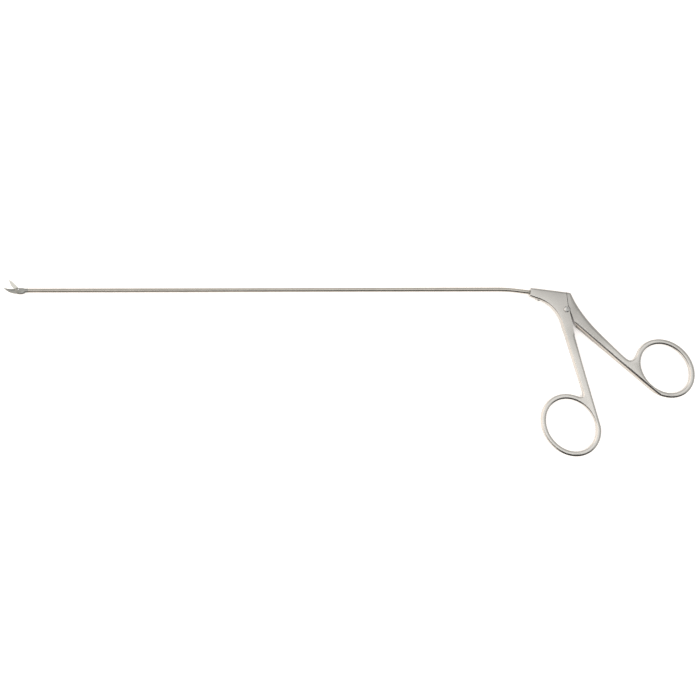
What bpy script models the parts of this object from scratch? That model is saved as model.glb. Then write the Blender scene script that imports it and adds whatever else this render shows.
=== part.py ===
"""Microlaryngeal scissors: a long thin shaft with small scissor blades, worked by two ring handles.

The instrument lies flat. X runs along the shaft towards the handles, Y runs across it, and Z is the
thickness of the handles. Everything is drawn around the handle pivot, and the last step moves the whole
so that the origin is the middle of its underside. Lengths are in metres.
"""
import math

import bmesh
import bpy
from mathutils import Matrix, Vector

MM = 0.001

# Mechanism
HANDLE_THROW = math.radians(8.0)        # how far the moving handle turns
JAW_OPEN = math.radians(38.0)           # how far the upper blade stands open
LINK_ARM = 6.1 * MM                     # handle pivot to link pin
LINK_LEAN = math.radians(18.5)          # lean of that arm, handles open
NOSE_SLOPE = math.radians(7.4)          # the shaft's bend, which is the nose's slope too
SHAFT_HEIGHT = 8.86 * MM                # straight shaft's axis above the handle pivot
WORKING_LENGTH = 231.3 * MM             # nose face to the tip of the lower blade
RUNNING_GAP = 0.03 * MM                 # round a pin or a rod that moves
FIXED_GAP = 0.01 * MM                   # round a pin or a tube that is fixed
SLIDE_GAP = 0.05 * MM                   # beside a flat that slides in a slot
SEAM_GAP = 0.25 * MM                    # between the two handles where they stop

# Handles
BODY_THICKNESS = 4.6 * MM
RING_THICKNESS = 3.2 * MM
EDGE_ROUND = 0.9 * MM
RING_WIDTH = 2.25 * MM
TAPER_START = 7.0 * MM                  # below the pivot, along each arm
TAPER_END = 32.0 * MM
FINGER_RING = {"centre": (2.05 * MM, -50.85 * MM), "long": 13.55 * MM, "short": 11.15 * MM,
               "tilt": math.radians(-51.0)}
THUMB_RING = {"centre": (43.40 * MM, -26.05 * MM), "long": 13.2 * MM, "short": 10.35 * MM,
              "tilt": math.radians(-44.5)}
FIXED_ARM = {"start": (1.30 * MM, -11.0 * MM), "end": (7.93 * MM, -33.0 * MM),
             "start_width": 4.05 * MM, "end_width": 3.55 * MM}
MOVING_ARM = {"start": (15.14 * MM, -14.1 * MM), "end": (24.2 * MM, -22.25 * MM),
              "start_width": 4.5 * MM, "end_width": 3.75 * MM}
WEB_FILLET_FIXED = 3.5 * MM             # between the fixed arm and its ring
WEB_FILLET_MOVING = 6.5 * MM
RING_RUN_IN = 5.0 * MM                  # where an arm's outer edge runs into its ring
BELLY_ROUND = 2.0 * MM                  # broad rounding along the moving arm's lower edge
BELLY_SLOPES = (22.5, 45.0, 67.5)       # degrees, its flats

# Nose and head of the body
NOSE_LENGTH = 14.0 * MM                 # link pin to nose face
NOSE_ABOVE = 2.0 * MM                   # nose axis to top edge
NOSE_BELOW = 2.0 * MM                   # nose axis to underside, at the nose face
UNDERSIDE_SLOPE = math.radians(19.3)
UNDERSIDE_SWEEP = 16.0 * MM             # radius between the nose's underside and the arm
HEAD_BEHIND_LINK = 3.6 * MM             # link pin to the head's rear corner
HEAD_CORNER = 1.1 * MM
SHOULDER_SLOPE = math.radians(66.0)     # the moving handle's back, at the head's corner
STOCK = 1.6 * MM                        # what a blank has beyond a face that is cut

# Seam between the handles
UPPER_SEAM = 0.70 * MM                  # its distance behind the pivot
LOWER_SEAM = 1.05 * MM
LOWER_SEAM_LEAN = math.radians(12.2)
CHEEK_BOSS = 1.35 * MM                  # round boss of the cheeks at the pivot

# Slot in the body and the tongue that turns in it
TONGUE_THICKNESS = 1.8 * MM
TONGUE_HUB = 2.2 * MM
TONGUE_TIP = 1.45 * MM
SLOT_FRONT = 2.45 * MM                  # link pin to the slot's front end
HUB_CLEARANCE = 0.25 * MM
FORK_WIDTH = 0.8 * MM
EYE_RADIUS = 1.0 * MM
EYE_SLEEVE = 4.2 * MM                   # link pin to the sleeve's front end
EYE_SLEEVE_RADIUS = 0.52 * MM

# Pins and screws
LINK_PIN_RADIUS = 0.45 * MM
PIVOT_RADIUS = 0.8 * MM
PIVOT_THREAD_RADIUS = 0.7 * MM
PIVOT_HEAD_RADIUS = 1.17 * MM
PIVOT_HEAD_HEIGHT = 0.5 * MM
PIVOT_HEAD_DOME = ((0.55, 0.08), (0.85, 0.25), (1.0, 0.5))  # share of its radius, share of its height down
TUBE_SCREW_FROM_FACE = 3.7 * MM
TUBE_SCREW_RADIUS = 0.6 * MM
TUBE_SCREW_HEAD_RADIUS = 0.98 * MM
TUBE_SCREW_HEAD_HEIGHT = 1.1 * MM
TUBE_SCREW_SEAT = 2.4 * MM              # nose axis to the head's seat
PIVOT_SLOT_TURN = math.radians(-5.0)
SCREW_SLOT_WIDTH = 0.4 * MM
SCREW_SLOT_DEPTH = 0.3 * MM

# Shaft
TUBE_RADIUS = 0.95 * MM
TUBE_WALL = 0.3 * MM
TUBE_IN_NOSE = 9.0 * MM
BEND_RADIUS = 70.0 * MM
ROD_RADIUS = 0.35 * MM

# Jaw
JAW_PIN_ABOVE_SHAFT = 0.50 * MM
JAW_PIN_FROM_TIP = 6.5 * MM
JAW_THICKNESS = 1.9 * MM
JAW_TOP = 0.6 * MM                      # above the blade pin
JAW_BOTTOM = 2.15 * MM                  # below it
JAW_FRONT = 1.4 * MM                    # in front of the blade pin
JAW_SLOT_END = 2.9 * MM                 # blade pin to the slot's rear end
JAW_NECK = 0.55 * MM                    # how far the flat cheeks run into the round end
JAW_REAR = 4.1 * MM                     # blade pin to the end of the tube
JAW_EDGE_ROUND = 0.45 * MM
FIXED_EDGE_BACK = ((-0.3, -1.9), (-4.0, -2.05), (-6.5, 0.52))  # mm from the blade pin: root, bend and tip
FIXED_EDGE_TOP = ((-0.3, 0.55), (-3.7, -0.25), (-6.5, 0.80))
FIXED_EDGE_THINNING = 0.3 * MM          # what the fixed blade loses in thickness up to its tip
GROUND_SHARE = 0.4                      # how much of a blade's height its grinding takes
GROUND_LAND = 0.08 * MM                 # steel left at the cutting edge
SPIGOT_LENGTH = 2.5 * MM
SPIGOT_RADIUS = 0.72 * MM
SHEAR_PLANE = 0.22 * MM                 # where the two blades slide on each other
JAW_SLOT_WIDTH = 0.82 * MM
BLADE_THICKNESS = 0.43 * MM
FLAT_THICKNESS = 0.30 * MM
ROD_STEP = 1.2 * MM                     # blade pin to the step where the wire turns flat
BLADE_PIN_RADIUS = 0.35 * MM
BLADE_HUB_RADIUS = 0.62 * MM
DRIVE_PIN_RADIUS = 0.20 * MM
DRIVE_WALL = 0.20 * MM                  # steel round the drive pin
BLADE_STATIONS = ((0.6, -0.30, 1.05), (2.0, -0.32, 1.35), (3.9, -0.28, 1.35), (4.2, -0.27, 1.05),
                  (5.0, -0.17, 0.80), (5.6, -0.04, 0.48), (6.0, 0.10, 0.24))  # mm: reach, back, front
BLADE_CLOSED = math.radians(171.7)      # direction of the upper blade when it is shut

# Values worked out from those above
LINK_PIN = Vector((-LINK_ARM * math.sin(LINK_LEAN), LINK_ARM * math.cos(LINK_LEAN)))
LINK_PIN_SHUT = Vector((-LINK_ARM * math.sin(LINK_LEAN - HANDLE_THROW),
                        LINK_ARM * math.cos(LINK_LEAN - HANDLE_THROW)))
ROD_TRAVEL = LINK_PIN_SHUT.x - LINK_PIN.x
LINK_RISE = LINK_PIN_SHUT.y - LINK_PIN.y
DRIVE_ARM = ROD_TRAVEL / 2 / math.tan(JAW_OPEN / 2)
TOWARDS_SHAFT = Vector((-math.cos(NOSE_SLOPE), math.sin(NOSE_SLOPE)))
NOSE_UP = Vector((math.sin(NOSE_SLOPE), math.cos(NOSE_SLOPE)))
HALF_BODY = BODY_THICKNESS / 2
HALF_TONGUE = TONGUE_THICKNESS / 2
FAR = 20.0 * MM                         # how far a cutter reaches past the steel
TINY = 0.0001 * MM

CURVE_STEPS = 8
JAW_STEPS = 12
RING_STEPS = 56
ROUND_SIDES = 24

PARTS = "microlaryngeal_scissors"
CUTTERS = "cutters"


# Plane geometry

def direction(angle):
    return Vector((math.cos(angle), math.sin(angle)))


def on_nose(distance, above=0.0):
    """A point on the nose's axis, that far from the link pin towards the shaft."""
    return LINK_PIN + TOWARDS_SHAFT * distance + NOSE_UP * above


def meet(point, along, other_point, other_along):
    """Where two lines cross."""
    gap = other_point - point
    cross = along.x * other_along.y - along.y * other_along.x
    reach = (gap.x * other_along.y - gap.y * other_along.x) / cross
    return point + along * reach


def arc(centre, radius, start, end, steps=CURVE_STEPS):
    """Points on an arc, both ends included."""
    return [centre + direction(start + (end - start) * step / steps) * radius
            for step in range(steps + 1)]


def blend(start, corner, end, steps=CURVE_STEPS):
    """A curve that leaves start towards corner and reaches end coming from corner."""
    points = []
    for step in range(steps + 1):
        t = step / steps
        points.append(start * (1 - t) ** 2 + corner * 2 * t * (1 - t) + end * t ** 2)
    return points


def fillet(before, corner, after, radius, steps=CURVE_STEPS):
    """An arc of the given radius in place of a corner."""
    back = (before - corner).normalized()
    ahead = (after - corner).normalized()
    half = math.acos(max(-1.0, min(1.0, back.dot(ahead)))) / 2
    centre = corner + (back + ahead).normalized() * radius / math.sin(half)
    tangent = radius / math.tan(half)
    first = corner + back * tangent - centre
    last = corner + ahead * tangent - centre
    start = math.atan2(first.y, first.x)
    turn = (math.atan2(last.y, last.x) - start + math.pi) % (2 * math.pi) - math.pi
    return arc(centre, radius, start, start + turn, steps)


def ring_point(ring, angle, outward=0.0):
    """A point on a ring's oval, whose middle line the ring's sizes give."""
    local = Vector(((ring["long"] + outward) * math.cos(angle), (ring["short"] + outward) * math.sin(angle)))
    return Vector(ring["centre"]) + Matrix.Rotation(ring["tilt"], 2) @ local


def ring_tangent(ring, angle, outward):
    local = Vector((-(ring["long"] + outward) * math.sin(angle), (ring["short"] + outward) * math.cos(angle)))
    return (Matrix.Rotation(ring["tilt"], 2) @ local).normalized()


def ring_crossing(ring, point, along, outward, leaving):
    """The angle at which a line enters a ring's outer edge, or leaves it again, or comes nearest to it."""
    turn = Matrix.Rotation(-ring["tilt"], 2)
    start = turn @ (point - Vector(ring["centre"]))
    step = turn @ along
    wide = ring["long"] + outward
    high = ring["short"] + outward
    a = (step.x / wide) ** 2 + (step.y / high) ** 2
    b = 2 * (start.x * step.x / wide ** 2 + start.y * step.y / high ** 2)
    c = (start.x / wide) ** 2 + (start.y / high) ** 2 - 1
    spread = math.sqrt(max(0.0, b * b - 4 * a * c))
    reach = (-b + (spread if leaving else -spread)) / (2 * a)
    hit = start + step * reach
    return math.atan2(hit.y / high, hit.x / wide)


def arm_edges(arm):
    """A point and a direction on each edge of an arm: to the left of the arm, then to its right."""
    start = Vector(arm["start"])
    end = Vector(arm["end"])
    along = (end - start).normalized()
    left = Vector((-along.y, along.x))
    edges = []
    for side in (1, -1):
        first = start + left * side * arm["start_width"] / 2
        last = end + left * side * arm["end_width"] / 2
        edges.append((first, (last - first).normalized()))
    return edges


def run_around_ring(ring, arrive, leave, web_last, web):
    """The outline from one edge of an arm, clockwise round the ring and back to the arm's other edge.

    Each edge is a point and a direction towards the ring. One edge runs smoothly into the ring, and the
    other meets it in a web.
    """
    half = RING_WIDTH / 2
    size = (ring["long"] + ring["short"]) / 2 + half
    start = ring_crossing(ring, *arrive, half, web_last) - (RING_RUN_IN if web_last else web) / size
    end = ring_crossing(ring, *leave, half, not web_last) + (web if web_last else RING_RUN_IN) / size
    while end > start:
        end -= 2 * math.pi
    while end < start - 2 * math.pi:
        end += 2 * math.pi
    points = []
    first = ring_point(ring, start, half)
    corner = meet(*arrive, first, ring_tangent(ring, start, half))
    points += blend(corner - arrive[1] * (first - corner).length, corner, first)[:-1]
    steps = max(8, round(RING_STEPS * (start - end) / (2 * math.pi)))
    points += [ring_point(ring, start + (end - start) * step / steps, half) for step in range(steps + 1)]
    last = points[-1]
    corner = meet(*leave, last, ring_tangent(ring, end, half))
    points += blend(last, corner, corner - leave[1] * (last - corner).length)[1:]
    return points


# Making objects

def collection(name):
    made = bpy.data.collections.new(name)
    bpy.context.scene.collection.children.link(made)
    return made


def add_object(name, data, where):
    made = bpy.data.objects.new(name, data)
    bpy.data.collections[where].objects.link(made)
    return made


def mesh_from_bmesh(name, shape, where):
    data = bpy.data.meshes.new(name)
    shape.to_mesh(data)
    shape.free()
    return add_object(name, data, where)


def mesh_from_curve(curve_object, where):
    """Turn a curve object into a mesh object of the same name, with its caps welded on."""
    bpy.context.view_layer.update()
    graph = bpy.context.evaluated_depsgraph_get()
    data = bpy.data.meshes.new_from_object(curve_object.evaluated_get(graph))
    name = curve_object.name
    place = curve_object.matrix_world.copy()
    bpy.data.objects.remove(curve_object)
    shape = bmesh.new()
    shape.from_mesh(data)
    bmesh.ops.remove_doubles(shape, verts=shape.verts, dist=0.0005 * MM)
    bmesh.ops.recalc_face_normals(shape, faces=shape.faces)
    shape.to_mesh(data)
    shape.free()
    made = add_object(name, data, where)
    data.name = name
    made.matrix_world = place
    return made


def plate(name, outline, low, high, where=PARTS, holes=(), edge=0.0):
    """A flat outline with thickness from low to high in Z. Its edges are rounded inside the outline."""
    curve = bpy.data.curves.new(name, "CURVE")
    curve.dimensions = "2D"
    curve.fill_mode = "BOTH"
    curve.extrude = (high - low) / 2 - edge
    curve.bevel_depth = edge
    curve.bevel_resolution = 2
    curve.offset = -edge
    for loop in (outline, *holes):
        spline = curve.splines.new("POLY")
        spline.points.add(len(loop) - 1)
        for point, place in zip(spline.points, loop):
            point.co = (place.x, place.y, 0.0, 1.0)
        spline.use_cyclic_u = True
    made = add_object(name, curve, where)
    made.location.z = (low + high) / 2
    return mesh_from_curve(made, where)


def rod(name, points, radius, where=PARTS, sides=16, capped=True):
    """A round bar along points in the plane of the handles."""
    curve = bpy.data.curves.new(name, "CURVE")
    curve.dimensions = "3D"
    curve.bevel_depth = radius
    curve.bevel_resolution = (sides - 4) // 2
    curve.use_fill_caps = capped
    spline = curve.splines.new("POLY")
    spline.points.add(len(points) - 1)
    for point, place in zip(spline.points, points):
        point.co = (place.x, place.y, 0.0, 1.0)
    return mesh_from_curve(add_object(name, curve, where), where)


def turned(name, profile, place, where=PARTS, sides=ROUND_SIDES):
    """A turned solid: profile lists radius and height, from the top of the axis down to its foot."""
    shape = bmesh.new()
    verts = [shape.verts.new((radius, 0.0, height)) for radius, height in profile]
    for first, second in zip(verts, verts[1:]):
        shape.edges.new((first, second))
    made = mesh_from_bmesh(name, shape, where)
    screw = made.modifiers.new("turn", "SCREW")
    screw.axis = "Z"
    screw.angle = 2 * math.pi
    screw.steps = sides
    screw.render_steps = sides
    screw.use_merge_vertices = True
    screw.merge_threshold = TINY
    screw.use_smooth_shade = True
    made.matrix_world = place
    return made


def cylinder(name, radius, low, high, place, where=CUTTERS, sides=ROUND_SIDES):
    shape = bmesh.new()
    bmesh.ops.create_cone(shape, cap_ends=True, segments=sides, radius1=radius, radius2=radius,
                          depth=high - low, matrix=Matrix.Translation((0, 0, (low + high) / 2)))
    made = mesh_from_bmesh(name, shape, where)
    made.matrix_world = place
    return made


def block(name, low, high, place, where=CUTTERS):
    shape = bmesh.new()
    low = Vector(low)
    high = Vector(high)
    bmesh.ops.create_cube(shape, size=1.0, matrix=Matrix.Translation((low + high) / 2)
                          @ Matrix.Diagonal((*(high - low), 1.0)))
    made = mesh_from_bmesh(name, shape, where)
    made.matrix_world = place
    return made


def loft(name, sections, where=PARTS):
    """A closed solid through sections that have the same number of corners."""
    shape = bmesh.new()
    rings = [[shape.verts.new(corner) for corner in section] for section in sections]
    count = len(rings[0])
    for ring, following in zip(rings, rings[1:]):
        for index in range(count):
            after = (index + 1) % count
            shape.faces.new((ring[index], ring[after], following[after], following[index]))
    shape.faces.new(rings[0])
    shape.faces.new(rings[-1])
    bmesh.ops.recalc_face_normals(shape, faces=shape.faces)
    return mesh_from_bmesh(name, shape, where)


def combine(target, tool, operation):
    """Cut target with tool, or join tool to it. The tool becomes a hidden wire guide."""
    boolean = target.modifiers.new(tool.name, "BOOLEAN")
    boolean.operation = operation
    boolean.solver = "EXACT"
    boolean.object = tool
    tool.hide_render = True
    tool.display_type = "WIRE"
    for holder in tool.users_collection:
        holder.objects.unlink(tool)
    bpy.data.collections[CUTTERS].objects.link(tool)


def cut(target, tool):
    combine(target, tool, "DIFFERENCE")


def join(target, tool):
    combine(target, tool, "UNION")


def upright(point, height=0.0):
    """A frame at a point of the handle plane, with its axis along Z."""
    return Matrix.Translation((point.x, point.y, height))


def nose_frame(distance):
    """A frame on the nose's axis with its local Z along it, towards the shaft, and its local Y up."""
    place = on_nose(distance)
    along = Vector((*TOWARDS_SHAFT, 0.0))
    up = Vector((*NOSE_UP, 0.0))
    side = up.cross(along)
    return Matrix.Translation((place.x, place.y, 0.0)) @ Matrix((side, up, along)).transposed().to_4x4()


def thin_towards_ring(blank, arm):
    """Taper a handle's thickness from the body down to its ring."""
    along = Vector((*(Vector(arm["end"]) - Vector(arm["start"])).normalized(), 0.0))
    shape = bmesh.new()
    shape.from_mesh(blank.data)
    for distance in (TAPER_START, TAPER_END):
        everything = shape.verts[:] + shape.edges[:] + shape.faces[:]
        bmesh.ops.bisect_plane(shape, geom=everything, dist=TINY, plane_co=along * distance, plane_no=along)
    for vert in shape.verts:
        reach = (vert.co.dot(along) - TAPER_START) / (TAPER_END - TAPER_START)
        reach = max(0.0, min(1.0, reach))
        vert.co.z *= 1 + reach * (RING_THICKNESS / BODY_THICKNESS - 1)
    shape.to_mesh(blank.data)
    shape.free()


def round_belly(blank, arm):
    """Round the arm's right-hand edge broadly on both faces, with flats along it that touch an arc."""
    edge, along = arm_edges(arm)[1]
    outward = Vector((along.y, -along.x, 0.0))
    shape = bmesh.new()
    shape.from_mesh(blank.data)
    for side in (1, -1):
        middle = Vector((*edge, side * (HALF_BODY - BELLY_ROUND))) - outward * BELLY_ROUND
        for slope in BELLY_SLOPES:
            normal = outward * math.sin(math.radians(slope))
            normal.z = side * math.cos(math.radians(slope))
            everything = shape.verts[:] + shape.edges[:] + shape.faces[:]
            done = bmesh.ops.bisect_plane(shape, geom=everything, dist=TINY, plane_no=normal,
                                          plane_co=middle + normal * BELLY_ROUND, clear_outer=True)
            rim = [part for part in done["geom_cut"] if isinstance(part, bmesh.types.BMEdge)]
            bmesh.ops.edgenet_fill(shape, edges=rim)
    bmesh.ops.recalc_face_normals(shape, faces=shape.faces)
    shape.to_mesh(blank.data)
    shape.free()


# Handles

def seam_line(distance, lean):
    """A point on a seam line and the line's direction downwards. The distance is behind the pivot."""
    across = direction(lean)
    return across * distance, Vector((across.y, -across.x))


def seam_outline(upper, boss, lower, lower_lean):
    """The seam from above the head to below the body, with its arc round the pivot."""
    above, down = seam_line(upper, NOSE_SLOPE)
    below, away = seam_line(lower, lower_lean)
    start = NOSE_SLOPE + math.acos(upper / boss)
    end = lower_lean - math.acos(lower / boss)
    centre = Vector((0.0, 0.0))
    return [above - down * FAR, *arc(centre, boss, start, end), below + away * FAR]


def head_top():
    return on_nose(-HEAD_BEHIND_LINK, NOSE_ABOVE)


def fixed_outline():
    outer, inner = arm_edges(FIXED_ARM)
    corner = head_top()
    front = on_nose(NOSE_LENGTH + STOCK, NOSE_ABOVE)
    underside = on_nose(NOSE_LENGTH, -NOSE_BELOW)
    slope = direction(-UNDERSIDE_SLOPE)
    below_front = meet(underside, slope, front, -NOSE_UP)
    sweep = meet(underside, slope, *inner)
    seam_point, seam_down = seam_line(LOWER_SEAM, LOWER_SEAM_LEAN)
    seam_foot = meet(seam_point, seam_down, *outer)
    rear = seam_foot + Vector((STOCK, 4 * STOCK))
    points = fillet(below_front, front, corner, HEAD_CORNER)
    points += fillet(front, corner, rear, HEAD_CORNER)
    points += fillet(corner, rear, seam_foot, HEAD_CORNER)
    points += [seam_foot]
    points += run_around_ring(FINGER_RING, outer, inner, True, WEB_FILLET_FIXED)
    points += fillet(inner[0], sweep, underside, UNDERSIDE_SWEEP, 2 * CURVE_STEPS)
    points += fillet(sweep, below_front, front, HEAD_CORNER)
    return points


def moving_outline():
    outer, inner = arm_edges(MOVING_ARM)
    corner = head_top()
    shoulder = direction(-SHOULDER_SLOPE)
    knee = meet(corner, shoulder, *outer)
    front = on_nose(STOCK, NOSE_ABOVE)
    seam_point, seam_down = seam_line(LOWER_SEAM + SEAM_GAP, LOWER_SEAM_LEAN + HANDLE_THROW)
    heel = meet(seam_point, seam_down, *inner)
    heel_front = heel - inner[1] * STOCK * 1.5
    points = fillet(heel_front, front, corner, HEAD_CORNER)
    rounded = fillet(front, corner, knee, HEAD_CORNER)
    points += rounded
    points += blend(rounded[-1] + shoulder * HEAD_CORNER, knee, outer[0], 2 * CURVE_STEPS)
    points += run_around_ring(THUMB_RING, outer, inner, False, WEB_FILLET_MOVING)
    points += fillet(inner[0], heel_front, front, HEAD_CORNER)
    return points


def ring_hole(ring):
    return [ring_point(ring, 2 * math.pi * step / RING_STEPS, -RING_WIDTH / 2) for step in range(RING_STEPS)]


def tongue_outline():
    """The tongue: a round hub at the pivot, a round tip at the link pin, and a root inside the shoulder."""
    centre = Vector((0.0, 0.0))
    lean = math.pi / 2 + LINK_LEAN
    narrowing = math.acos((TONGUE_HUB - TONGUE_TIP) / LINK_ARM)
    front = lean + narrowing
    points = arc(LINK_PIN, TONGUE_TIP, front, lean - math.pi / 4)
    points += [Vector((UPPER_SEAM + SEAM_GAP, LINK_PIN.y + TONGUE_TIP / 2))]
    points += arc(centre, TONGUE_HUB, 0.0, front - 2 * math.pi, 2 * CURVE_STEPS)
    return points


def slot_outline():
    """The slot in the body, which leaves room for the hub, the tongue and the rod's eye."""
    centre = Vector((0.0, 0.0))
    radius = TONGUE_HUB + HUB_CLEARANCE
    front_low = on_nose(SLOT_FRONT, -NOSE_BELOW)
    points = [on_nose(SLOT_FRONT, FAR)]
    points += fillet(on_nose(SLOT_FRONT, FAR), front_low, direction(math.pi) * radius, HUB_CLEARANCE * 2)
    points += arc(centre, radius, math.radians(190), math.radians(270))
    points += [Vector((FAR, -radius)), Vector((FAR, FAR))]
    return points


def make_fixed_handle():
    handle = plate("fixed_handle", fixed_outline(), -HALF_BODY, HALF_BODY, holes=[ring_hole(FINGER_RING)],
                   edge=EDGE_ROUND)
    thin_towards_ring(handle, FIXED_ARM)
    cut(handle, block("nose_face", (-FAR, -FAR, 0), (FAR, FAR, FAR), nose_frame(NOSE_LENGTH)))
    seam = seam_outline(UPPER_SEAM, CHEEK_BOSS, LOWER_SEAM, LOWER_SEAM_LEAN)
    outer = arm_edges(FIXED_ARM)[0]
    seam_point, seam_down = seam_line(LOWER_SEAM, LOWER_SEAM_LEAN)
    seam[-1] = meet(seam_point, seam_down, *outer) - seam_down * SLIDE_GAP
    seam += [seam[-1] + Vector((FAR, 0.0)), seam[0] + Vector((FAR, 0.0))]
    cut(handle, plate("rear_of_cheeks", seam, -FAR, FAR, CUTTERS))
    half_slot = HALF_TONGUE + SLIDE_GAP
    cut(handle, plate("tongue_slot", slot_outline(), -half_slot, half_slot, CUTTERS))
    tube_end = NOSE_LENGTH - TUBE_IN_NOSE
    cut(handle, cylinder("tube_bore", TUBE_RADIUS + FIXED_GAP * 2, 0, FAR, nose_frame(tube_end)))
    cut(handle, cylinder("rod_bore", (TUBE_RADIUS + EYE_SLEEVE_RADIUS) / 2 + 2 * RUNNING_GAP, 0, FAR,
                         nose_frame(SLOT_FRONT - EYE_RADIUS)))
    screw = tube_screw_frame()
    cut(handle, cylinder("tube_screw_hole", TUBE_SCREW_RADIUS + FIXED_GAP, 0, TUBE_SCREW_SEAT + FAR, screw))
    cut(handle, cylinder("tube_screw_seat", TUBE_SCREW_HEAD_RADIUS * 1.15, TUBE_SCREW_SEAT - FIXED_GAP,
                         TUBE_SCREW_SEAT + FAR, screw))
    pivot = upright(Vector((0.0, 0.0)))
    cut(handle, cylinder("pivot_hole", PIVOT_RADIUS + FIXED_GAP, 0, FAR, pivot))
    cut(handle, cylinder("pivot_thread", PIVOT_THREAD_RADIUS + FIXED_GAP, -FAR, FAR / 2, pivot))
    return handle


def make_moving_handle():
    handle = plate("moving_handle", moving_outline(), -HALF_BODY, HALF_BODY, holes=[ring_hole(THUMB_RING)],
                   edge=EDGE_ROUND)
    round_belly(handle, MOVING_ARM)
    thin_towards_ring(handle, MOVING_ARM)
    seam = seam_outline(UPPER_SEAM + SEAM_GAP, CHEEK_BOSS + SEAM_GAP, LOWER_SEAM + SEAM_GAP,
                        LOWER_SEAM_LEAN + HANDLE_THROW)
    seam += [seam[-1] - Vector((FAR, 0.0)), seam[0] - Vector((FAR, 0.0))]
    cut(handle, plate("front_of_shoulder", seam, -FAR, FAR, CUTTERS))
    join(handle, plate("tongue", tongue_outline(), -HALF_TONGUE, HALF_TONGUE, CUTTERS))
    half_fork = FORK_WIDTH / 2
    room = TONGUE_TIP
    cut(handle, block("fork_slot", (LINK_PIN.x - FAR, LINK_PIN.y - room, -half_fork),
                      (LINK_PIN.x + room, LINK_PIN.y + FAR, half_fork), Matrix()))
    cut(handle, cylinder("tongue_pivot", PIVOT_RADIUS + RUNNING_GAP, -HALF_BODY, HALF_BODY,
                         upright(Vector((0.0, 0.0)))))
    cut(handle, cylinder("link_pin_hole", LINK_PIN_RADIUS + FIXED_GAP, -HALF_BODY, HALF_BODY,
                         upright(LINK_PIN)))
    return handle


# Screws and pins

def screw_slot(screw, height, radius, place, turn=0.0):
    """Cut a screwdriver slot into a head whose top is at the given height."""
    half = SCREW_SLOT_WIDTH / 2
    low = height - SCREW_SLOT_DEPTH
    cut(screw, block(screw.name + "_slot", (-half, -2 * radius, low), (half, 2 * radius, height + radius),
                     place @ Matrix.Rotation(turn, 4, "Z")))


def make_pivot_screw():
    top = HALF_BODY + PIVOT_HEAD_HEIGHT
    seat = HALF_BODY + FIXED_GAP
    neck = -HALF_TONGUE
    foot = -HALF_BODY + SLIDE_GAP
    profile = [(0.0, top)]
    profile += [(PIVOT_HEAD_RADIUS * out, top - PIVOT_HEAD_HEIGHT * down) for out, down in PIVOT_HEAD_DOME]
    profile += [(PIVOT_HEAD_RADIUS, seat), (PIVOT_RADIUS, seat), (PIVOT_RADIUS, neck),
                (PIVOT_THREAD_RADIUS, neck), (PIVOT_THREAD_RADIUS, foot), (0.0, foot)]
    screw = turned("pivot_screw", profile, upright(Vector((0.0, 0.0))))
    screw_slot(screw, top, PIVOT_HEAD_RADIUS, Matrix(), PIVOT_SLOT_TURN)
    return screw


def tube_screw_frame():
    """A frame on the nose's axis whose local Z runs down the tube screw."""
    place = on_nose(NOSE_LENGTH - TUBE_SCREW_FROM_FACE)
    down = Vector((*-NOSE_UP, 0.0))
    along = Vector((*TOWARDS_SHAFT, 0.0))
    side = down.cross(along)
    return Matrix.Translation((place.x, place.y, 0.0)) @ Matrix((along, side, down)).transposed().to_4x4()


def make_tube_screw():
    seat = TUBE_SCREW_SEAT
    top = seat + TUBE_SCREW_HEAD_HEIGHT
    chamfer = TUBE_SCREW_HEAD_HEIGHT * 0.2
    point = TUBE_RADIUS + FIXED_GAP * 2
    profile = [(0.0, top), (TUBE_SCREW_HEAD_RADIUS - chamfer, top), (TUBE_SCREW_HEAD_RADIUS, top - chamfer),
               (TUBE_SCREW_HEAD_RADIUS, seat), (TUBE_SCREW_RADIUS, seat), (TUBE_SCREW_RADIUS, point),
               (0.0, point)]
    screw = turned("tube_screw", profile, tube_screw_frame())
    screw_slot(screw, top, TUBE_SCREW_HEAD_RADIUS, tube_screw_frame())
    return screw


def make_pin(name, radius, low, high, point):
    """A plain pin along Z with a small chamfer at both ends."""
    chamfer = radius * 0.2
    profile = [(0.0, high), (radius - chamfer, high), (radius, high - chamfer),
               (radius, low + chamfer), (radius - chamfer, low), (0.0, low)]
    return turned(name, profile, upright(point))


# Shaft and rod

def bend_points():
    """Points of the shaft's bend, from the straight part to the nose's axis."""
    corner = meet(LINK_PIN, TOWARDS_SHAFT, Vector((0.0, SHAFT_HEIGHT)), Vector((-1.0, 0.0)))
    straight = corner - Vector((FAR, 0.0))
    return fillet(straight, corner, LINK_PIN, BEND_RADIUS)


def jaw_pin():
    """The upper blade's pin, placed back from the tip of the lower blade."""
    tip = on_nose(NOSE_LENGTH).x - WORKING_LENGTH
    return Vector((tip + JAW_PIN_FROM_TIP, SHAFT_HEIGHT + JAW_PIN_ABOVE_SHAFT))


def drive_pin():
    return jaw_pin() - Vector((ROD_TRAVEL / 2, DRIVE_ARM))


def make_shaft_tube():
    start = Vector((jaw_pin().x + JAW_REAR + FIXED_GAP, SHAFT_HEIGHT))
    end = on_nose(NOSE_LENGTH - TUBE_IN_NOSE + FIXED_GAP)
    tube = rod("shaft_tube", [start, *bend_points(), end], TUBE_RADIUS, capped=False)
    wall = tube.modifiers.new("wall", "SOLIDIFY")
    wall.thickness = TUBE_WALL
    wall.offset = -1
    socket = Matrix.Translation((start.x, start.y, 0.0)) @ Matrix.Rotation(math.pi / 2, 4, "Y")
    cut(tube, cylinder("spigot_socket", SPIGOT_RADIUS + FIXED_GAP * 2, -FAR, SPIGOT_LENGTH + SLIDE_GAP,
                       socket))
    return tube


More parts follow.
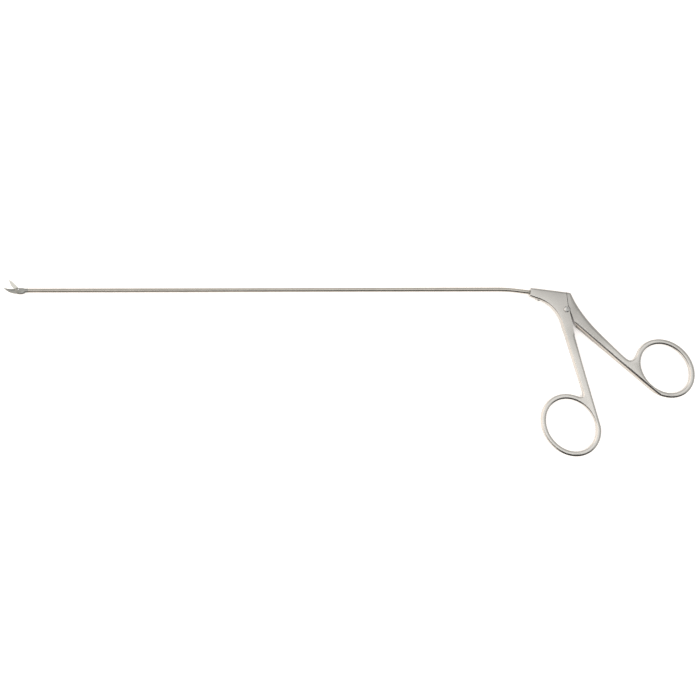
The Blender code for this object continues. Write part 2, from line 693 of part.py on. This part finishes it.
def make_pull_rod():
    pin = drive_pin()
    step = jaw_pin() + Vector((ROD_STEP, 0.0))
    start = Vector((step.x, SHAFT_HEIGHT))
    bar = rod("pull_rod", [start, *bend_points(), on_nose(EYE_RADIUS * 2)], ROD_RADIUS, sides=12)
    low, high = flat_heights()
    eye = DRIVE_PIN_RADIUS + FIXED_GAP + DRIVE_WALL
    top = SHAFT_HEIGHT + ROD_RADIUS
    bottom = SHAFT_HEIGHT - ROD_RADIUS
    rear = step.x + 2 * ROD_RADIUS
    outline = arc(pin, eye, math.radians(100), math.radians(280), 2 * CURVE_STEPS)
    outline += [Vector((step.x, bottom)), Vector((rear, bottom)), Vector((rear, top)),
                Vector((step.x - ROD_RADIUS, top))]
    join(bar, plate("rod_flat", outline, low, high, CUTTERS))
    join(bar, block("rod_step", (step.x, bottom + ROD_RADIUS / 5, low + FIXED_GAP),
                    (rear - FIXED_GAP, top - ROD_RADIUS / 5, 0.0), Matrix()))
    cut(bar, cylinder("drive_pin_hole", DRIVE_PIN_RADIUS + FIXED_GAP, low - ROD_RADIUS, high + ROD_RADIUS,
                      upright(pin), sides=16))
    return bar


def make_rod_eye():
    half = FORK_WIDTH / 2 - SLIDE_GAP
    lean = math.pi - NOSE_SLOPE
    neck = EYE_SLEEVE_RADIUS
    outline = arc(LINK_PIN, EYE_RADIUS, lean + math.radians(40), lean + math.radians(320), 2 * CURVE_STEPS)
    outline += [on_nose(EYE_RADIUS * 2.4, neck), on_nose(EYE_RADIUS * 2.4, -neck)]
    eye = plate("rod_eye", outline, -half, half)
    join(eye, cylinder("eye_sleeve", EYE_SLEEVE_RADIUS, EYE_RADIUS * 1.6, EYE_SLEEVE, nose_frame(0.0),
                       sides=16))
    radius = LINK_PIN_RADIUS + RUNNING_GAP
    above = LINK_PIN + Vector((0.0, LINK_RISE))
    slot = arc(LINK_PIN, radius, math.pi, 2 * math.pi) + arc(above, radius, 0.0, math.pi)
    cut(eye, plate("link_slot", slot, -EYE_RADIUS, EYE_RADIUS, CUTTERS))
    cut(eye, cylinder("rod_socket", ROD_RADIUS + FIXED_GAP, EYE_RADIUS * 2 - FIXED_GAP, FAR, nose_frame(0.0),
                      sides=16))
    return eye


# Jaw

def flat_heights():
    """The rod's flat lies in the jaw's slot, below the blade's tail."""
    low = SHEAR_PLANE - JAW_SLOT_WIDTH + RUNNING_GAP
    return low, low + FLAT_THICKNESS


def blade_heights():
    high = SHEAR_PLANE - RUNNING_GAP
    return high - BLADE_THICKNESS, high


def jaw_body_outline():
    """Side view of the cheeks: round in front, a bulge over the drive pin, and a neck into the round end."""
    pin = jaw_pin()
    top = pin.y + JAW_TOP
    bottom = pin.y - JAW_BOTTOM
    neck = pin.x + JAW_SLOT_END
    shaft_top = SHAFT_HEIGHT + TUBE_RADIUS * 0.9
    shaft_bottom = SHAFT_HEIGHT - TUBE_RADIUS * 0.9
    points = fillet(Vector((neck, shaft_bottom)), Vector((neck + JAW_NECK, shaft_bottom)),
                    Vector((neck + JAW_NECK, shaft_top)), JAW_NECK)
    points += fillet(Vector((neck + JAW_NECK, shaft_bottom)), Vector((neck + JAW_NECK, shaft_top)),
                     Vector((neck, shaft_top)), JAW_NECK)
    narrowing = pin.x + JAW_SLOT_END * 0.7
    front = pin.x - JAW_FRONT
    points += blend(Vector((neck, shaft_top)), Vector((narrowing, top)), Vector((pin.x + JAW_FRONT, top)))
    points += fillet(Vector((pin.x, top)), Vector((front, top)), Vector((front, bottom)), JAW_TOP)
    points += blend(Vector((front, pin.y - JAW_TOP)), Vector((front, bottom)), Vector((pin.x, bottom)))
    points += blend(Vector((pin.x + JAW_FRONT / 2, bottom)), Vector((narrowing, bottom)),
                    Vector((neck, shaft_bottom)))[:-1]
    return points


def lower_blade_sections():
    """Sections of the fixed blade: its curved back, and a ground edge that lies in the shear plane."""
    pin = jaw_pin()
    back = blend(*(pin + Vector(place) * MM for place in FIXED_EDGE_BACK), JAW_STEPS)
    edge = blend(*(pin + Vector(place) * MM for place in FIXED_EDGE_TOP), JAW_STEPS)
    sections = []
    for step, (low, high) in enumerate(zip(back, edge)):
        outer = JAW_THICKNESS / 2 - FIXED_GAP - FIXED_EDGE_THINNING * step / JAW_STEPS
        bevel = (outer - SHEAR_PLANE) / 4
        lifted = low.lerp(high, GROUND_SHARE / 4)
        ground = high.lerp(low, GROUND_SHARE)
        sections.append([(low.x, low.y, outer - bevel), (low.x, low.y, SHEAR_PLANE),
                         (high.x, high.y, SHEAR_PLANE), (high.x, high.y, SHEAR_PLANE + GROUND_LAND),
                         (ground.x, ground.y, outer), (lifted.x, lifted.y, outer)])
    return sections


def make_lower_blade():
    half = JAW_THICKNESS / 2
    pin = jaw_pin()
    jaw = plate("lower_blade", jaw_body_outline(), -half, half, edge=JAW_EDGE_ROUND)
    join(jaw, loft("fixed_edge", lower_blade_sections(), CUTTERS))
    spigot = Matrix.Translation((pin.x + JAW_REAR, SHAFT_HEIGHT, 0.0)) @ Matrix.Rotation(math.pi / 2, 4, "Y")
    join(jaw, cylinder("round_end", TUBE_RADIUS, JAW_SLOT_END - JAW_REAR - JAW_NECK, 0.0, spigot))
    join(jaw, cylinder("spigot", SPIGOT_RADIUS, -JAW_NECK, SPIGOT_LENGTH, spigot, sides=16))
    cut(jaw, block("blade_slot", (pin.x - FAR, pin.y - FAR, SHEAR_PLANE - JAW_SLOT_WIDTH),
                   (pin.x + JAW_SLOT_END, pin.y + FAR, SHEAR_PLANE), Matrix()))
    cut(jaw, cylinder("rod_passage", ROD_RADIUS + SLIDE_GAP * 2, -JAW_REAR, SPIGOT_LENGTH + FAR, spigot,
                      sides=16))
    cut(jaw, cylinder("blade_pin_hole", BLADE_PIN_RADIUS + FIXED_GAP, -FAR, FAR, upright(pin), sides=16))
    return jaw


def make_upper_blade():
    """The hinged blade, in its open place: a ground blade, the hub on its pin, and the slotted tail."""
    pin = jaw_pin()
    low, high = blade_heights()
    along = direction(BLADE_CLOSED - JAW_OPEN)
    across = Vector((-along.y, along.x))
    sections = []
    for reach, back, front in BLADE_STATIONS:
        spine = pin + along * reach * MM + across * back * MM
        edge = pin + along * reach * MM + across * front * MM
        ground = edge.lerp(spine, GROUND_SHARE)
        sections.append([(spine.x, spine.y, low), (spine.x, spine.y, high), (edge.x, edge.y, high),
                         (edge.x, edge.y, high - GROUND_LAND), (ground.x, ground.y, low)])
    blade = loft("upper_blade", sections)
    tail = (drive_pin() - pin).normalized()
    side = Vector((-tail.y, tail.x))
    slot_half = DRIVE_PIN_RADIUS + RUNNING_GAP
    slot_near = pin + tail * DRIVE_ARM
    slot_far = pin + tail * DRIVE_ARM / math.cos(JAW_OPEN / 2)
    half_width = slot_half + DRIVE_WALL
    facing = math.atan2(side.y, side.x)
    outline = arc(slot_far, half_width, facing, facing - math.pi)
    outline += arc(pin, BLADE_HUB_RADIUS, facing - math.pi * 1.1, facing - math.pi * 1.9)
    join(blade, plate("blade_tail", outline, low + FIXED_GAP, high - FIXED_GAP, CUTTERS))
    slot = arc(slot_far, slot_half, facing, facing - math.pi) + arc(slot_near, slot_half, facing - math.pi,
                                                                    facing - 2 * math.pi)
    cut(blade, plate("tail_slot", slot, low - FIXED_GAP * 5, high + FIXED_GAP * 5, CUTTERS))
    cut(blade, cylinder("blade_bore", BLADE_PIN_RADIUS + RUNNING_GAP, low - MM, high + MM, upright(pin),
                        sides=16))
    return blade


def make_pins():
    half = JAW_THICKNESS / 2
    flat_low = flat_heights()[0]
    blade_high = blade_heights()[1]
    tongue = HALF_TONGUE - FIXED_GAP
    return [make_pin("link_pin", LINK_PIN_RADIUS, -tongue, tongue, LINK_PIN),
            make_pin("blade_pin", BLADE_PIN_RADIUS, -half, half, jaw_pin()),
            make_pin("drive_pin", DRIVE_PIN_RADIUS, flat_low, blade_high, drive_pin())]


# Materials

def steel(name, colour, roughness):
    material = bpy.data.materials.new(name)
    material.use_nodes = True
    shader = material.node_tree.nodes["Principled BSDF"]
    shader.inputs["Base Color"].default_value = (*colour, 1.0)
    shader.inputs["Metallic"].default_value = 1.0
    shader.inputs["Roughness"].default_value = roughness
    return material


def paint(objects, material):
    for made in objects:
        made.data.materials.clear()
        made.data.materials.append(material)


def lay_down(objects):
    """Parent everything to one empty, and move it so that the origin is the middle of the underside."""
    frame = add_object("instrument", None, PARTS)
    for made in objects:
        made.parent = frame
    for guide in bpy.data.collections[CUTTERS].objects:
        guide.parent = frame
    bpy.context.view_layer.update()
    graph = bpy.context.evaluated_depsgraph_get()
    corners = []
    for made in objects:
        evaluated = made.evaluated_get(graph)
        corners += [made.matrix_world @ vert.co for vert in evaluated.to_mesh().vertices]
        evaluated.to_mesh_clear()
    low = [min(corner[axis] for corner in corners) for axis in range(3)]
    high = [max(corner[axis] for corner in corners) for axis in range(3)]
    frame.location = (-(low[0] + high[0]) / 2, -(low[1] + high[1]) / 2, -low[2])


def main():
    for old in list(bpy.data.objects):
        bpy.data.objects.remove(old)
    collection(PARTS)
    collection(CUTTERS)
    handles = [make_fixed_handle(), make_moving_handle()]
    screws = [make_pivot_screw(), make_tube_screw()]
    shaft = [make_shaft_tube(), make_pull_rod(), make_rod_eye()]
    blades = [make_lower_blade(), make_upper_blade()]
    pins = make_pins()
    paint(handles, steel("satin_steel", (0.62, 0.61, 0.59), 0.35))
    paint(screws + pins, steel("turned_steel", (0.60, 0.59, 0.57), 0.25))
    paint(shaft, steel("drawn_steel", (0.58, 0.56, 0.53), 0.30))
    paint(blades, steel("ground_steel", (0.66, 0.65, 0.63), 0.25))
    lay_down(handles + screws + shaft + blades + pins)


main()
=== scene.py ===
"""Looks of the microlaryngeal scissors: satin steel on a white table, under a soft box."""
import math

import bpy
from mathutils import Matrix, Vector

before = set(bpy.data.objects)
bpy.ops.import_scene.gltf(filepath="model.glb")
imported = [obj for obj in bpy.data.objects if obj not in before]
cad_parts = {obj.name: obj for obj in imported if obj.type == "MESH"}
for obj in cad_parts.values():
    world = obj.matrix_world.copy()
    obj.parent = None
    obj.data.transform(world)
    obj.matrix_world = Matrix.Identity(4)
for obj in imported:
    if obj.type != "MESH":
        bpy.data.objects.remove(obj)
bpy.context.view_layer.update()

MM = 0.001

# Camera: it looks straight down on the instrument
CAMERA_AT = (0.36 * MM, 7.9 * MM)
CAMERA_HEIGHT = 500.0 * MM              # above the middle of the handles' thickness
MIDDLE_HEIGHT = 2.3 * MM
FRAME_WIDTH = 308.0 * MM
CAMERA_ROLL = math.radians(-0.13)
SENSOR = 36.0
CLIP_START = 10.0 * MM

# Lamps: place and size in metres, and how bright each looks
SOFT_BOX_AT = (-0.05, 0.15, 1.10)
SOFT_BOX_SIZE = (1.20, 1.20)
SOFT_BOX_RADIANCE = 0.56
STRIP_AT = (-0.08, -0.22, 1.15)         # a brighter strip beside the soft box
STRIP_SIZE = (0.80, 0.12)
STRIP_RADIANCE = 0.9

# Room, seen in the steel. A part of it is an azimuth range and an elevation range, in degrees.
# An azimuth range is its middle from +X, how far off that it ends, and how far off it is full.
# An elevation range is where it begins, where it is full, where it starts to fade, and where it ends.
ROOM = (0.68, 0.68, 0.67)
BACKDROP = (1.0, 1.0, 1.0)              # white all round the table, up to a little above it
BACKDROP_AZIMUTH = (0.0, 180.0, 179.0)
BACKDROP_ELEVATION = (-90.0, -89.0, 12.0, 17.0)
UNLIT = (0.05, 0.05, 0.048)             # an unlit part of the ceiling beyond the finger rings
UNLIT_AZIMUTH = (-98.0, 48.0, 33.0)
UNLIT_ELEVATION = (48.0, 54.0, 69.0, 76.0)
DARK_WALL_AZIMUTH = (-76.0, 39.0, 34.0)  # an unlit part of the wall below it
DARK_WALL_ELEVATION = (7.5, 10.0, 50.0, 58.0)
WARM = (1.80, 1.64, 1.50)               # warm walls, low beyond the rings and the shaft's end
WARM_LOW_AZIMUTH = (-160.0, 90.0, 60.0)
WARM_LOW_ELEVATION = (-90.0, -89.0, 34.0, 42.0)
WARM_END_AZIMUTH = (178.0, 42.0, 22.0)
WARM_END_ELEVATION = (-90.0, -89.0, 50.0, 66.0)

# Table
TABLE_RADIUS = 4.0
TABLE_SIDES = 96
TABLE_DROP = 0.02 * MM                  # how far it is below the instrument's underside
TABLE_ROUGHNESS = 0.9
TABLE_COLOUR = (0.80, 0.795, 0.79)
TABLE_GLOW = (0.66, 0.63, 0.61)
TABLE_SHADE = 5.0 * MM                  # how near the instrument has to be to darken the table
TABLE_SHADED = (0.06, 0.28)             # openness at which its glow is gone, and at which it is whole

# Steel
SMOOTH_ANGLE = math.radians(32.0)
WELD = 0.0005 * MM
CREVICE = 0.5 * MM                      # how far from another surface the painted crevice shade reaches
CREVICE_OPEN = (0.40, 0.90)             # openness at which a place is all painted crevice shade, and at which it is free of it
# Painted shade: a near-black colour laid into crevices, where other surfaces close a place in
PAINTED_CREVICE_SHADE = (0.06, 0.058, 0.052)
PIT_SIZE = 0.12 * MM
GRAIN_SHARE = 0.45                      # of the colour's change, and the rest is cloud
GRAIN_DEPTH = 0.7                       # of the surface's relief, and the rest is pits
GRAIN_ROUGH = 0.03                      # how far the grain moves the roughness either way
EDGE_TURN = (0.90, 0.995)               # cosine between a rounded and a plain normal: edge, and flat
WORN_SHARE = 0.5
WORN_LIGHTER = 1.08                     # times the light colour
WORN_SMOOTHER = -0.06                   # added to the roughness
PAINTED_SHADE_DARKER = 0.2                       # times the dark colour, for the painted shade round the head and nose
PAINTED_SHADE_PLACES = (                         # where painted shade darkens the steel, standing in for the shading of its crowned head and nose: place, share, full up to, gone from
    ((0.1060, 0.0190, 0.0046), 0.30, 6.0 * MM, 18.0 * MM),
    ((0.0955, 0.0290, 0.0046), 0.20, 1.0 * MM, 10.0 * MM),
    ((0.0880, 0.0410, 0.0046), 0.40, 5.0 * MM, 16.0 * MM),
)


# Nodes

def new_material(name):
    """A material, its node tree and its shader."""
    material = bpy.data.materials.new(name)
    material.use_nodes = True
    return material, material.node_tree, material.node_tree.nodes["Principled BSDF"]


def node(tree, kind, **values):
    """A new node with some of its properties set."""
    made = tree.nodes.new(kind)
    for name, value in values.items():
        setattr(made, name, value)
    return made


def stretched(tree, scale, turn=0.0):
    """Object coordinates, turned about Z and then scaled along each axis."""
    place = node(tree, "ShaderNodeTexCoord")
    mapping = node(tree, "ShaderNodeMapping", vector_type="TEXTURE")
    mapping.inputs["Rotation"].default_value = (0.0, 0.0, turn)
    mapping.inputs["Scale"].default_value = scale
    tree.links.new(place.outputs["Object"], mapping.inputs["Vector"])
    return mapping.outputs["Vector"]


def noise(tree, vector, detail, roughness=0.55):
    """Noise whose features are about 1 unit of the vector wide."""
    made = node(tree, "ShaderNodeTexNoise")
    made.inputs["Scale"].default_value = 1.0
    made.inputs["Detail"].default_value = detail
    made.inputs["Roughness"].default_value = roughness
    tree.links.new(vector, made.inputs["Vector"])
    return made.outputs["Fac"]


def spread(tree, value, low, high, from_low=0.3, from_high=0.7, kind="LINEAR"):
    """A value moved from one range to another, and kept within it."""
    made = node(tree, "ShaderNodeMapRange", interpolation_type=kind)
    made.inputs["From Min"].default_value = from_low
    made.inputs["From Max"].default_value = from_high
    made.inputs["To Min"].default_value = low
    made.inputs["To Max"].default_value = high
    tree.links.new(value, made.inputs["Value"])
    return made.outputs["Result"]


def between(tree, share, first, second):
    """The first colour where share is 0 and the second where it is 1. Each is a tuple or a socket."""
    made = node(tree, "ShaderNodeMix", data_type="RGBA")
    tree.links.new(share, made.inputs["Factor"])
    for socket, colour in ((made.inputs["A"], first), (made.inputs["B"], second)):
        if isinstance(colour, tuple):
            socket.default_value = (*colour, 1.0)
        else:
            tree.links.new(colour, socket)
    return made.outputs["Result"]


def maths(tree, operation, first, second):
    """The result of an operation on two values. Each is a number or a socket."""
    made = node(tree, "ShaderNodeMath", operation=operation)
    for socket, value in zip(made.inputs, (first, second)):
        if isinstance(value, float):
            socket.default_value = value
        else:
            tree.links.new(value, socket)
    return made.outputs["Value"]


def edge_mask(tree, radius):
    """1 on sharp or tightly rounded edges, 0 on flats."""
    bevel = node(tree, "ShaderNodeBevel", samples=6)
    bevel.inputs["Radius"].default_value = radius
    geometry = node(tree, "ShaderNodeNewGeometry")
    dot = node(tree, "ShaderNodeVectorMath", operation="DOT_PRODUCT")
    tree.links.new(bevel.outputs["Normal"], dot.inputs[0])
    tree.links.new(geometry.outputs["Normal"], dot.inputs[1])
    return spread(tree, dot.outputs["Value"], 1.0, 0.0, *EDGE_TURN)


def openness(tree, reach, closed, open_at):
    """0 where other surfaces within reach close a place in, and 1 where it is open."""
    made = node(tree, "ShaderNodeAmbientOcclusion", samples=4)
    made.inputs["Distance"].default_value = reach
    return spread(tree, made.outputs["AO"], 0.0, 1.0, closed, open_at)


def bumped(tree, shader, height, depth):
    """Give the shader a relief from a height between 0 and 1."""
    made = node(tree, "ShaderNodeBump")
    made.inputs["Strength"].default_value = 1.0
    made.inputs["Distance"].default_value = depth
    tree.links.new(height, made.inputs["Height"])
    tree.links.new(made.outputs["Normal"], shader.inputs["Normal"])


def painted_shade_share(tree):
    """The share by which painted shade darkens the steel, round the places where it lies."""
    total = 0.0
    for place, share, full, gone in PAINTED_SHADE_PLACES:
        away = node(tree, "ShaderNodeVectorMath", operation="DISTANCE")
        away.inputs[1].default_value = place
        tree.links.new(node(tree, "ShaderNodeTexCoord").outputs["Object"], away.inputs[0])
        near = spread(tree, away.outputs["Value"], 1.0, 0.0, full, gone)
        smooth_near = spread(tree, near, 0.0, share, 0.0, 1.0, "SMOOTHSTEP")
        total = maths(tree, "ADD", smooth_near, total)
    return total


def steel(name, dark, light, rough, grain, blotch, wear, bump_depth):
    """Steel with a fine grain, soft blotches, painted shade in its crevices and round the head and nose,
    and brighter worn edges.

    dark and light are the colours between which it varies, and rough the roughnesses. grain is the
    grain's length and width in mm and its direction in degrees. blotch, wear and bump_depth are the
    size of a blotch, the width of a worn edge and the depth of the relief, all in mm.
    """
    material, tree, shader = new_material(name)
    shader.inputs["Metallic"].default_value = 1.0
    length, width, turn = grain
    grain_scale = (length * MM, width * MM, width * MM)
    lines = noise(tree, stretched(tree, grain_scale, math.radians(turn)), 2.0)
    cloud = noise(tree, stretched(tree, (blotch * MM, blotch * MM, blotch * MM)), 4.0, 0.6)
    pits = noise(tree, stretched(tree, (PIT_SIZE, PIT_SIZE, PIT_SIZE)), 2.0, 0.7)

    line_tone = spread(tree, lines, 0.0, GRAIN_SHARE)
    cloud_tone = spread(tree, cloud, 0.0, 1.0 - GRAIN_SHARE)
    colour = between(tree, maths(tree, "ADD", line_tone, cloud_tone), dark, light)
    # Painted shade round the head and nose, standing in for the shading of crowned faces
    painted_shade_colour = tuple(channel * PAINTED_SHADE_DARKER for channel in dark)
    colour = between(tree, painted_shade_share(tree), colour, painted_shade_colour)
    # Painted shade in the crevices, where other surfaces close a place in
    colour = between(tree, openness(tree, CREVICE, *CREVICE_OPEN), PAINTED_CREVICE_SHADE, colour)
    edges = edge_mask(tree, wear * MM)
    worn = tuple(min(1.0, channel * WORN_LIGHTER) for channel in light)
    colour = between(tree, maths(tree, "MULTIPLY", edges, WORN_SHARE), colour, worn)
    tree.links.new(colour, shader.inputs["Base Color"])

    line_rough = spread(tree, lines, -GRAIN_ROUGH, GRAIN_ROUGH)
    roughness = maths(tree, "ADD", spread(tree, cloud, *rough), line_rough)
    roughness = maths(tree, "ADD", roughness, maths(tree, "MULTIPLY", edges, WORN_SMOOTHER))
    tree.links.new(roughness, shader.inputs["Roughness"])

    line_height = spread(tree, lines, 0.0, GRAIN_DEPTH)
    pit_height = spread(tree, pits, 0.0, 1.0 - GRAIN_DEPTH)
    bumped(tree, shader, maths(tree, "ADD", line_height, pit_height), bump_depth * MM)
    return material


# CAD nodes

def smooth(part):
    """Round forms shade as one surface, and real edges stay crisp."""
    for polygon in part.data.polygons:
        polygon.use_smooth = True
    if "custom_normal" in part.data.attributes:
        part.data.attributes.remove(part.data.attributes["custom_normal"])
    weld = part.modifiers.new("weld", "WELD")
    weld.merge_threshold = WELD
    split = part.modifiers.new("edges", "EDGE_SPLIT")
    split.split_angle = SMOOTH_ANGLE
    split.use_edge_sharp = False


def dress(names, material):
    """Give some of the CAD nodes a material."""
    for name in names:
        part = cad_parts[name]
        part.data.materials.clear()
        part.data.materials.append(material)
        smooth(part)


def dress_all():
    """Each CAD node in its steel, with the grain along its length."""
    satin = ((0.525, 0.506, 0.475), (0.615, 0.594, 0.563), (0.18, 0.25))
    moving_satin = ((0.505, 0.487, 0.458), (0.59, 0.570, 0.541), (0.18, 0.25))
    dress(["fixed_handle"],
          steel("satin_fixed", *satin, grain=(2.5, 0.10, -73.0), blotch=9.0, wear=0.25, bump_depth=0.004))
    dress(["moving_handle"],
          steel("satin_moving", *moving_satin, grain=(2.5, 0.10, -43.0), blotch=9.0, wear=0.25,
                bump_depth=0.004))
    dress(["pivot_screw", "tube_screw", "link_pin", "blade_pin", "drive_pin"],
          steel("turned_bright", (0.66, 0.65, 0.63), (0.76, 0.75, 0.73), (0.12, 0.18),
                grain=(0.5, 0.06, 0.0), blotch=1.5, wear=0.10, bump_depth=0.002))
    dress(["shaft_tube", "pull_rod", "rod_eye"],
          steel("drawn_tube", (0.42, 0.393, 0.350), (0.52, 0.488, 0.440), (0.14, 0.20),
                grain=(14.0, 0.08, 0.0), blotch=6.0, wear=0.08, bump_depth=0.003))
    # The lower blade's darker colour is partly an oxidised satin finish and partly painted shade,
    # standing in for the darker reflections of its rounded jaw
    dress(["lower_blade"],
          steel("jaw_steel_painted_shade", (0.235, 0.235, 0.217), (0.325, 0.325, 0.303), (0.18, 0.26),
                grain=(0.8, 0.05, 10.0), blotch=2.0, wear=0.08, bump_depth=0.002))
    dress(["upper_blade"],
          steel("ground_blade", (0.50, 0.49, 0.452), (0.61, 0.60, 0.558), (0.20, 0.28),
                grain=(0.8, 0.05, 35.0), blotch=2.0, wear=0.08, bump_depth=0.002))


# Stage

def glowing(name, colour, glow):
    """A surface that the camera and the steel see as a plain pale tone, and that still takes a shadow."""
    material, tree, shader = new_material(name)
    shader.inputs["Base Color"].default_value = (*colour, 1.0)
    shader.inputs["Roughness"].default_value = TABLE_ROUGHNESS
    shader.inputs["Specular IOR Level"].default_value = 0.0
    path = node(tree, "ShaderNodeLightPath")
    seen = maths(tree, "MAXIMUM", path.outputs["Is Camera Ray"], path.outputs["Is Glossy Ray"])
    seen = maths(tree, "MAXIMUM", seen, path.outputs["Is Transmission Ray"])
    emission = node(tree, "ShaderNodeEmission")
    emission.inputs["Color"].default_value = (*glow, 1.0)
    shade = openness(tree, TABLE_SHADE, *TABLE_SHADED)
    tree.links.new(maths(tree, "MULTIPLY", seen, shade), emission.inputs["Strength"])
    both = node(tree, "ShaderNodeAddShader")
    tree.links.new(shader.outputs["BSDF"], both.inputs[0])
    tree.links.new(emission.outputs["Emission"], both.inputs[1])
    tree.links.new(both.outputs["Shader"], tree.nodes["Material Output"].inputs["Surface"])
    return material


def make_table():
    ring = []
    for side in range(TABLE_SIDES):
        angle = 2 * math.pi * side / TABLE_SIDES
        ring.append((TABLE_RADIUS * math.cos(angle), TABLE_RADIUS * math.sin(angle), -TABLE_DROP))
    data = bpy.data.meshes.new("table")
    data.from_pydata(ring, [], [list(range(TABLE_SIDES))])
    table = bpy.data.objects.new("table", data)
    bpy.context.scene.collection.objects.link(table)
    table.data.materials.append(glowing("white_table", TABLE_COLOUR, TABLE_GLOW))


def soft_box(name, place, size, radiance):
    """An area lamp that faces the instrument, given by how bright it looks from there."""
    data = bpy.data.lights.new(name, "AREA")
    data.shape = "RECTANGLE"
    data.size, data.size_y = size
    data.energy = radiance * math.pi * size[0] * size[1]
    lamp = bpy.data.objects.new(name, data)
    lamp.location = place
    lamp.rotation_euler = (-Vector(place)).to_track_quat("-Z", "Y").to_euler()
    bpy.context.scene.collection.objects.link(lamp)


def part_of_room(tree, azimuth, elevation):
    """1 in one part of the room and 0 outside it, with soft edges."""
    middle, ends, full = (math.radians(angle) for angle in azimuth)
    view = node(tree, "ShaderNodeTexCoord").outputs["Generated"]
    flat = node(tree, "ShaderNodeVectorMath", operation="MULTIPLY")
    flat.inputs[1].default_value = (1.0, 1.0, 0.0)
    tree.links.new(view, flat.inputs[0])
    heading = node(tree, "ShaderNodeVectorMath", operation="NORMALIZE")
    tree.links.new(flat.outputs["Vector"], heading.inputs[0])
    towards = node(tree, "ShaderNodeVectorMath", operation="DOT_PRODUCT")
    towards.inputs[1].default_value = (math.cos(middle), math.sin(middle), 0.0)
    tree.links.new(heading.outputs["Vector"], towards.inputs[0])
    within = spread(tree, towards.outputs["Value"], 0.0, 1.0, math.cos(ends), math.cos(full))
    axes = node(tree, "ShaderNodeSeparateXYZ")
    tree.links.new(view, axes.inputs["Vector"])
    foot, low, high, top = (math.sin(math.radians(angle)) for angle in elevation)
    above = spread(tree, axes.outputs["Z"], 0.0, 1.0, foot, low)
    below = spread(tree, axes.outputs["Z"], 1.0, 0.0, high, top)
    return maths(tree, "MULTIPLY", within, maths(tree, "MULTIPLY", above, below))


def make_world():
    world = bpy.data.worlds.new("studio")
    world.use_nodes = True
    tree = world.node_tree
    room = ROOM
    for colour, azimuth, elevation in (
            (BACKDROP, BACKDROP_AZIMUTH, BACKDROP_ELEVATION),
            (WARM, WARM_LOW_AZIMUTH, WARM_LOW_ELEVATION),
            (WARM, WARM_END_AZIMUTH, WARM_END_ELEVATION),
            (UNLIT, UNLIT_AZIMUTH, UNLIT_ELEVATION),
            (UNLIT, DARK_WALL_AZIMUTH, DARK_WALL_ELEVATION)):
        room = between(tree, part_of_room(tree, azimuth, elevation), room, colour)
    tree.links.new(room, tree.nodes["Background"].inputs["Color"])
    bpy.context.scene.world = world


def make_camera():
    data = bpy.data.cameras.new("camera")
    data.sensor_width = SENSOR
    data.lens = SENSOR * CAMERA_HEIGHT / FRAME_WIDTH
    data.clip_start = CLIP_START
    camera = bpy.data.objects.new("camera", data)
    camera.matrix_world = (Matrix.Translation((*CAMERA_AT, CAMERA_HEIGHT + MIDDLE_HEIGHT))
                           @ Matrix.Rotation(CAMERA_ROLL, 4, "Z"))
    bpy.context.scene.collection.objects.link(camera)
    bpy.context.scene.camera = camera


dress_all()
make_table()
soft_box("soft_box", SOFT_BOX_AT, SOFT_BOX_SIZE, SOFT_BOX_RADIANCE)
soft_box("strip", STRIP_AT, STRIP_SIZE, STRIP_RADIANCE)
make_world()
make_camera()
bpy.context.scene.view_settings.view_transform = "Standard"
